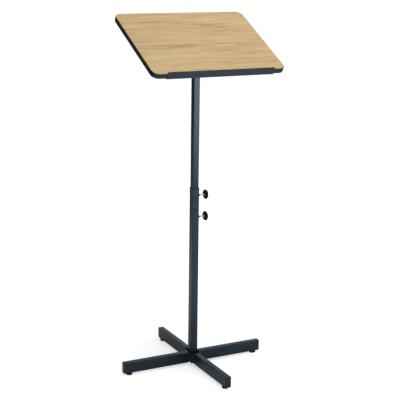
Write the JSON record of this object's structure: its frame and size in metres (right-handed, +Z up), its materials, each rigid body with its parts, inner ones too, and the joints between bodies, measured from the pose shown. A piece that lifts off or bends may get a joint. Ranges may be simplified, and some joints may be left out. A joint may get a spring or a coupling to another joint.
{
  "type": "lectern podium",
  "caption": "Free-standing lectern: a sloping oak-grain desk with a book stop, on a square telescopic column with side clamp knobs, over a low cross-shaped base.",
  "frame": {"origin": "on the floor, under the centre of the column", "axes": "+Z up along the column; +X to the reader's right, the side that the clamp knobs are on; +Y away from the reader, so the desk rises towards +Y"},
  "size_m": [0.5334, 0.5334, 1.2222],
  "materials": {
    "powder_coat": "satin charcoal powder coat with a fine texture",
    "black_plastic": "moulded, fine matt",
    "knob_plastic": "moulded, half gloss",
    "edge_vinyl": "soft satin vinyl",
    "foot_rubber": "matt",
    "oak_laminate": "light oak grain melamine laminate, satin",
    "backer_laminate": "plain brown-black backing sheet",
    "particle_board": "pressed wood chips",
    "zinc_steel": "bright zinc plating",
    "friction_fibre": "pressed fibre",
    "nylon": "natural nylon"
  },
  "bodies": {
    "base": {"lower_post": "powder_coat", "post_top_collar": "black_plastic", "post_base_plug": "zinc_steel", "post_bolt": "zinc_steel", "post_bolt_washer": "zinc_steel", "post_socket": "powder_coat", "hub_sleeve": "powder_coat", "hub_plate": "powder_coat", "hub_welds": "powder_coat", "foot_screws": "zinc_steel", "clamp_nut_upper": "powder_coat", "clamp_nut_lower": "powder_coat", "leg_left": "powder_coat", "leg_right": "powder_coat", "leg_front": "powder_coat", "leg_rear": "powder_coat", "leg_cap_left": "black_plastic", "leg_cap_right": "black_plastic", "leg_cap_front": "black_plastic", "leg_cap_rear": "black_plastic", "foot_glide_left": "foot_rubber", "foot_glide_right": "foot_rubber", "foot_glide_front": "foot_rubber", "foot_glide_rear": "foot_rubber"},
    "column": {"upper_tube": "powder_coat", "column_top_plug": "black_plastic", "column_bottom_plug": "black_plastic", "column_ear_left": "powder_coat", "column_ear_right": "powder_coat", "ear_welds": "powder_coat", "friction_discs": "friction_fibre"},
    "desk": {"desk_core": "particle_board", "desk_laminate": "oak_laminate", "desk_backer": "backer_laminate", "edge_band": "edge_vinyl", "book_stop": "powder_coat", "book_stop_screws": "zinc_steel", "desk_bracket_left": "powder_coat", "desk_bracket_right": "powder_coat", "bracket_screws": "zinc_steel", "tilt_bolt": "zinc_steel", "tilt_lock_nut": "zinc_steel", "tilt_washers": "zinc_steel"},
    "upper_screw_tip": {"pressure_plug_upper": "nylon"},
    "upper_knob": {"clamp_stud_upper": "zinc_steel", "clamp_knob_upper": "knob_plastic"},
    "lower_screw_tip": {"pressure_plug_lower": "nylon"},
    "lower_knob": {"clamp_stud_lower": "zinc_steel", "clamp_knob_lower": "knob_plastic"}
  },
  "joints": [
    {"name": "column_slide", "type": "slide", "parent": "base", "child": "column", "axis": [0, 0, 1], "range_m": [-0.394, 0.025]},
    {"name": "desk_tilt", "type": "hinge", "parent": "column", "child": "desk", "pos_m": [0, 0, 1.09], "axis": [1, 0, 0], "range_deg": [-27.5, 17.5]},
    {"name": "upper_screw_advance", "type": "slide", "parent": "base", "child": "upper_screw_tip", "axis": [1, 0, 0], "range_m": [0, 0.0038]},
    {"name": "upper_knob_turn", "type": "hinge", "parent": "upper_screw_tip", "child": "upper_knob", "pos_m": [0.043, 0, 0.612], "axis": [1, 0, 0], "range_deg": [0, 1080]},
    {"name": "lower_screw_advance", "type": "slide", "parent": "base", "child": "lower_screw_tip", "axis": [1, 0, 0], "range_m": [0, 0.0038]},
    {"name": "lower_knob_turn", "type": "hinge", "parent": "lower_screw_tip", "child": "lower_knob", "pos_m": [0.043, 0, 0.5355], "axis": [1, 0, 0], "range_deg": [0, 1080]}
  ],
  "couplings": [
    {"joint": "upper_knob_turn", "follows": "upper_screw_advance", "rad_per_m": 4947.4},
    {"joint": "lower_knob_turn", "follows": "lower_screw_advance", "rad_per_m": 4947.4}
  ]
}
